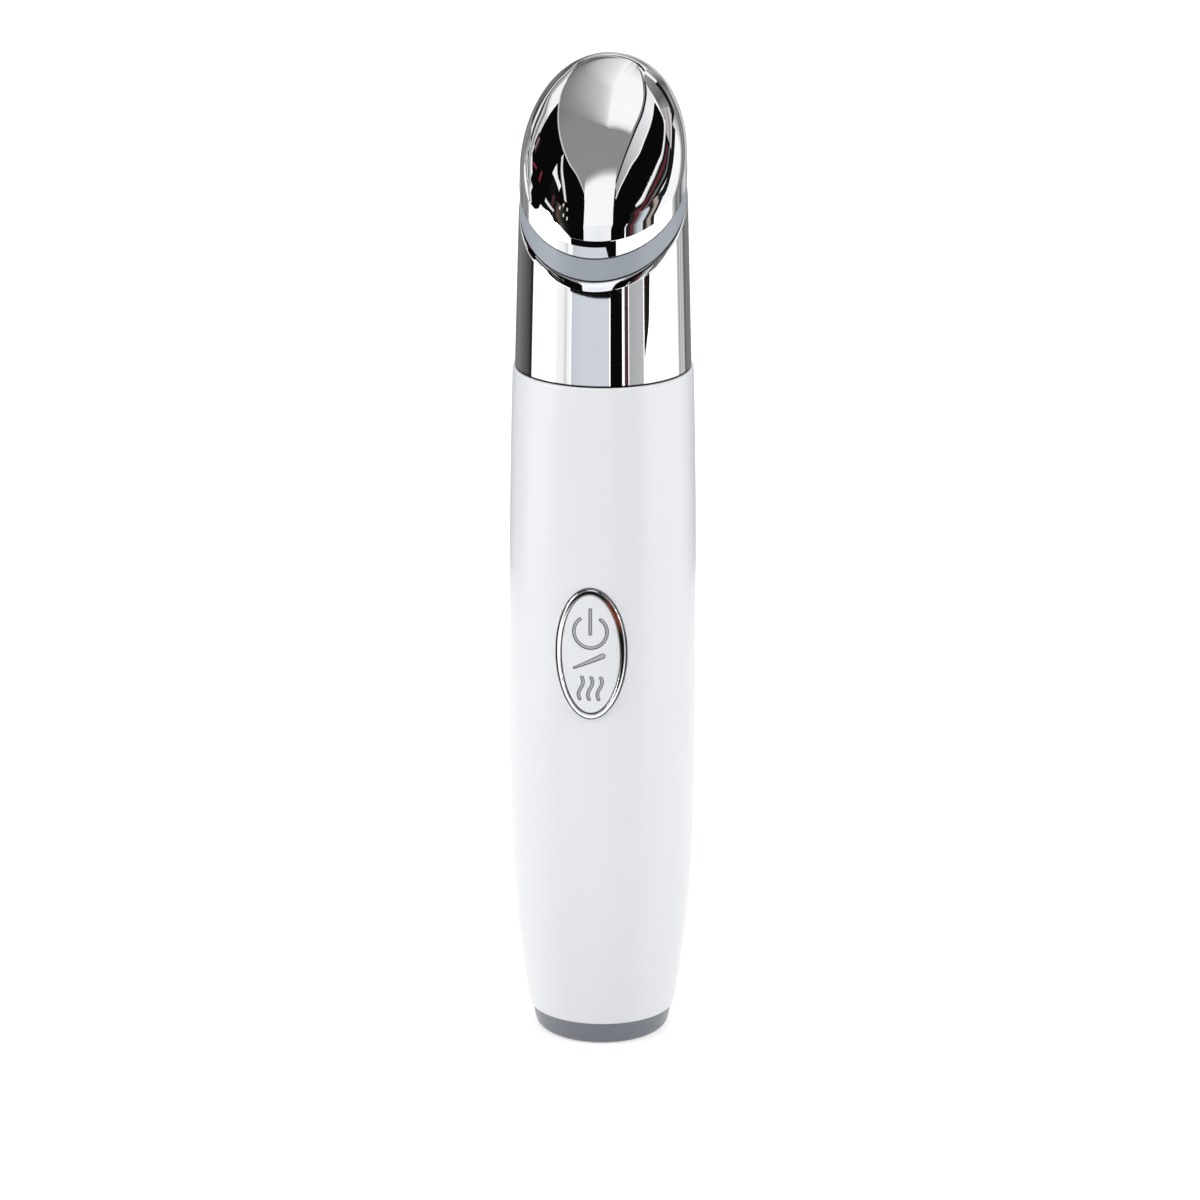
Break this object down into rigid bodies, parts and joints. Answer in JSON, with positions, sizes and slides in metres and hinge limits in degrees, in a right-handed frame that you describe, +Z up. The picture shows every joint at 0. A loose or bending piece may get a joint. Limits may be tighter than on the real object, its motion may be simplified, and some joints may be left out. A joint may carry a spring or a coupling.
{
  "type": "heated eye massager wand",
  "caption": "Upright hand-held eye massager with a barrel handle, an oval sprung button, a chrome collar and an oblique domed heated head.",
  "frame": {"origin": "middle of the flat foot under the tail cap", "axes": "+Z up along the wand to the head, -Y the front, where the button and the massage face are, +X to the right seen from the front"},
  "size_m": [0.0296, 0.0301, 0.1585],
  "materials": {
    "shell_white": "pearly white gloss moulding",
    "cap_grey": "satin cool grey",
    "ring_grey": "satin cool grey",
    "collar_chrome": "polished chrome plating",
    "head_chrome": "mirror-polished chrome plating",
    "trim_chrome": "polished chrome plating",
    "key_white": "white with recessed grey marks",
    "frame_plastic": "moulded black",
    "core_plastic": "moulded light grey",
    "circuit_board": "green solder mask",
    "chip_black": "moulded epoxy",
    "capacitor_tan": "fired body",
    "steel": "drawn or turned steel",
    "battery_wrap": "shrink sleeve",
    "foam_black": "closed-cell foam",
    "rubber_black": "moulded rubber",
    "heater_amber": "polyimide film",
    "wire_red": "insulated wire",
    "wire_white": "insulated wire"
  },
  "bodies": {
    "wand": {"handle_shell": "shell_white", "tail_cap": "cap_grey", "button_housing": "core_plastic", "button_ring": "trim_chrome", "head_collar": "collar_chrome", "insulator_ring": "ring_grey", "massage_head": "head_chrome", "head_core": "core_plastic", "head_seal": "rubber_black", "head_screws": "steel", "heater_film": "heater_amber", "temperature_sensor": "chip_black", "heater_leads": "wire_red", "sensor_leads": "wire_white", "inner_frame": "frame_plastic", "main_board": "circuit_board", "board_screws": "steel", "control_chip": "chip_black", "heater_transistor": "chip_black", "capacitors": "capacitor_tan", "tact_switch": "chip_black", "charge_board": "circuit_board", "charge_chip": "chip_black", "usb_shell": "steel", "usb_tongue": "chip_black", "battery_cell": "battery_wrap", "battery_pad": "foam_black", "battery_leads": "wire_red", "charge_leads": "wire_red", "motor_leads": "wire_red", "motor_can": "steel", "motor_end_cap": "core_plastic", "motor_sleeve": "rubber_black"},
    "button": {"button_key": "key_white"},
    "plunger": {"switch_plunger": "core_plastic"},
    "rotor": {"motor_shaft": "steel", "eccentric_weight": "steel"}
  },
  "joints": [
    {"name": "button_press", "type": "slide", "parent": "wand", "child": "button", "axis": [0, 1, 0], "range_m": [0, 0.0003], "stiffness_N_per_m": 300, "springref_m": -0.002},
    {"name": "plunger_press", "type": "slide", "parent": "wand", "child": "plunger", "axis": [0, 1, 0], "range_m": [0, 0.0003]},
    {"name": "motor_spin", "type": "hinge", "parent": "wand", "child": "rotor", "pos_m": [0, 0.0015, 0.09], "axis": [0, 0, 1], "continuous": true}
  ],
  "couplings": [
    {"joint": "plunger_press", "follows": "button_press", "ratio": 1}
  ]
}
